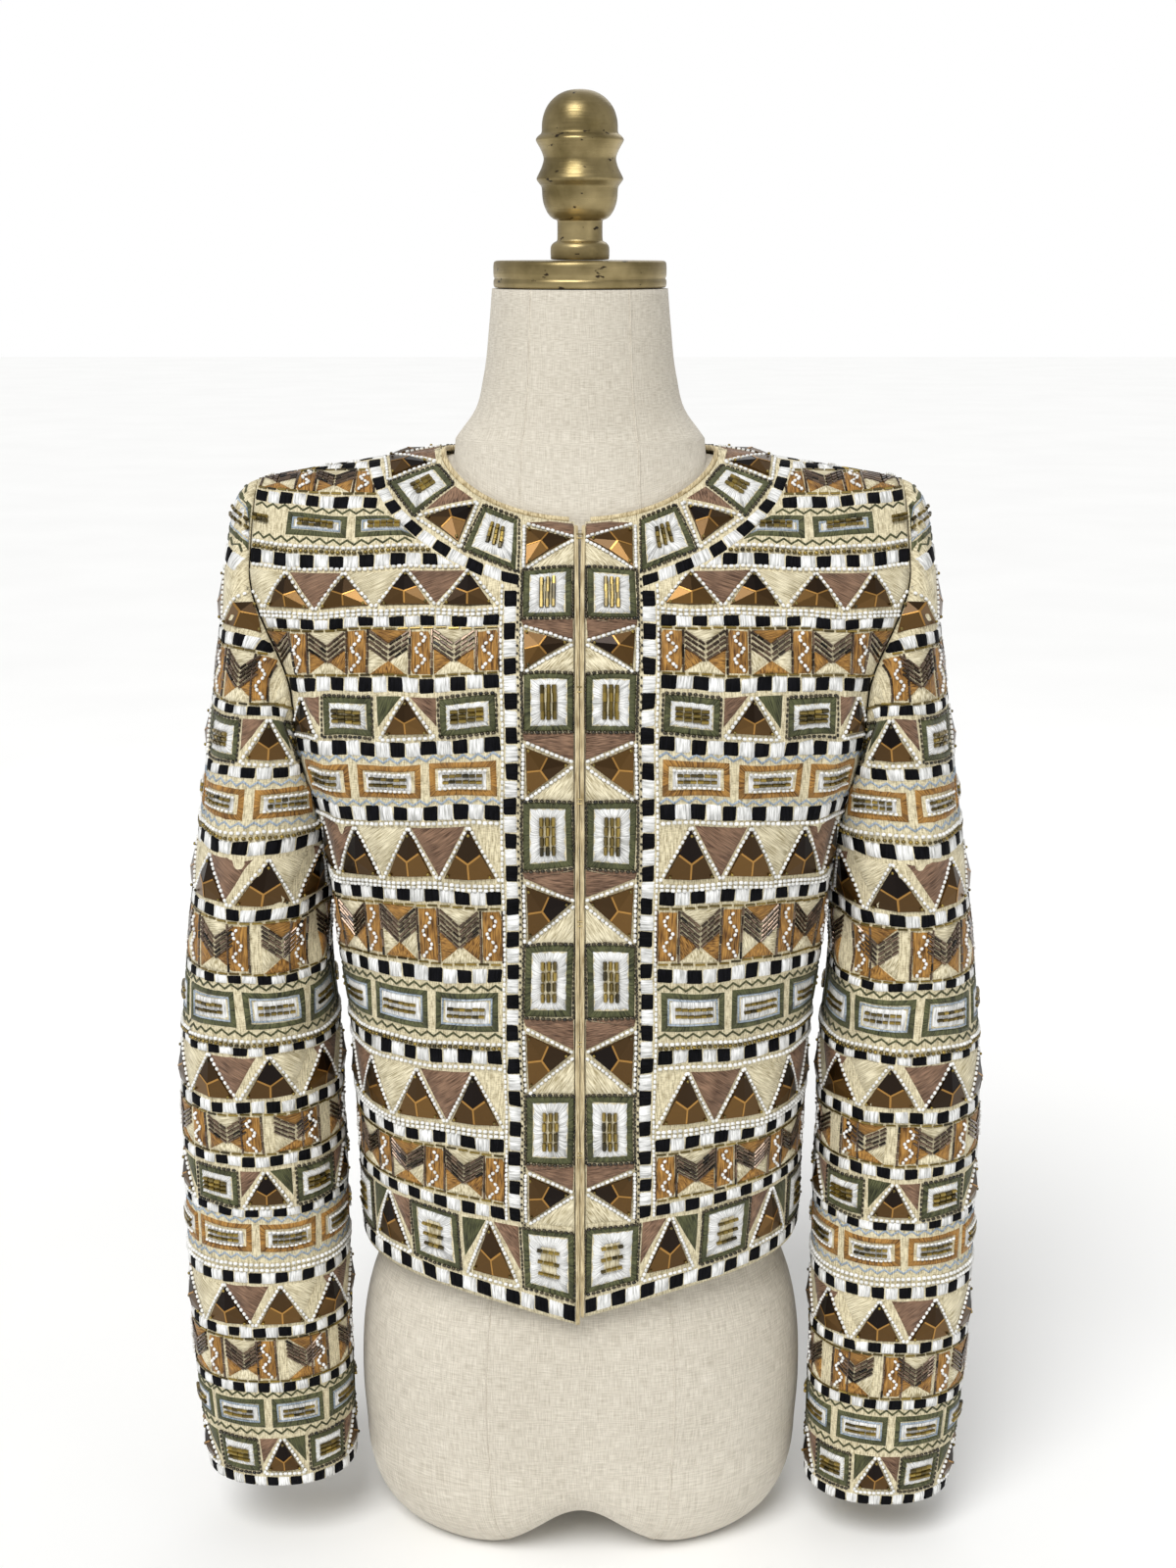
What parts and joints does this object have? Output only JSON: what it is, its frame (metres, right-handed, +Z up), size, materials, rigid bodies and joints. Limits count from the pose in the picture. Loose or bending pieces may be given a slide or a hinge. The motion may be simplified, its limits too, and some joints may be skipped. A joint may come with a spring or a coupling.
{
  "type": "beaded jacket on a dress form",
  "caption": "Collarless long-sleeved jacket covered in rows of beaded and embroidered geometric blocks, worn on a limbless linen dress form with a turned brass finial.",
  "frame": {"origin": "centre of the bounding box seen from above, at the plane the form's two feet stand on", "axes": "+Z up, -Y the front of the jacket, +X the picture's right"},
  "size_m": [0.514, 0.2284, 0.9139],
  "materials": {
    "embroidered_front_left": "satin stitch and beads",
    "embroidered_front_right": "satin stitch and beads",
    "embroidered_back": "satin stitch and beads",
    "embroidered_sleeve_front_left": "satin stitch and beads",
    "embroidered_sleeve_front_right": "satin stitch and beads",
    "embroidered_sleeve_back_left": "satin stitch and beads",
    "embroidered_sleeve_back_right": "satin stitch and beads",
    "cream_cord": "matte",
    "brass_wire": "satin",
    "linen": "matte weave",
    "aged_brass": "aged, worn"
  },
  "bodies": {
    "root": {"front_left": "embroidered_front_left", "front_right": "embroidered_front_right", "back": "embroidered_back", "sleeve_front_left": "embroidered_sleeve_front_left", "sleeve_front_right": "embroidered_sleeve_front_right", "sleeve_back_left": "embroidered_sleeve_back_left", "sleeve_back_right": "embroidered_sleeve_back_right", "neck_binding": "cream_cord", "edge_cord_left": "cream_cord", "edge_cord_right": "cream_cord", "hook_1": "brass_wire", "hook_2": "brass_wire", "hook_3": "brass_wire", "hook_4": "brass_wire", "hook_5": "brass_wire", "hook_6": "brass_wire", "form_torso": "linen", "form_cap": "aged_brass", "form_finial": "aged_brass"}
  },
  "joints": []
}
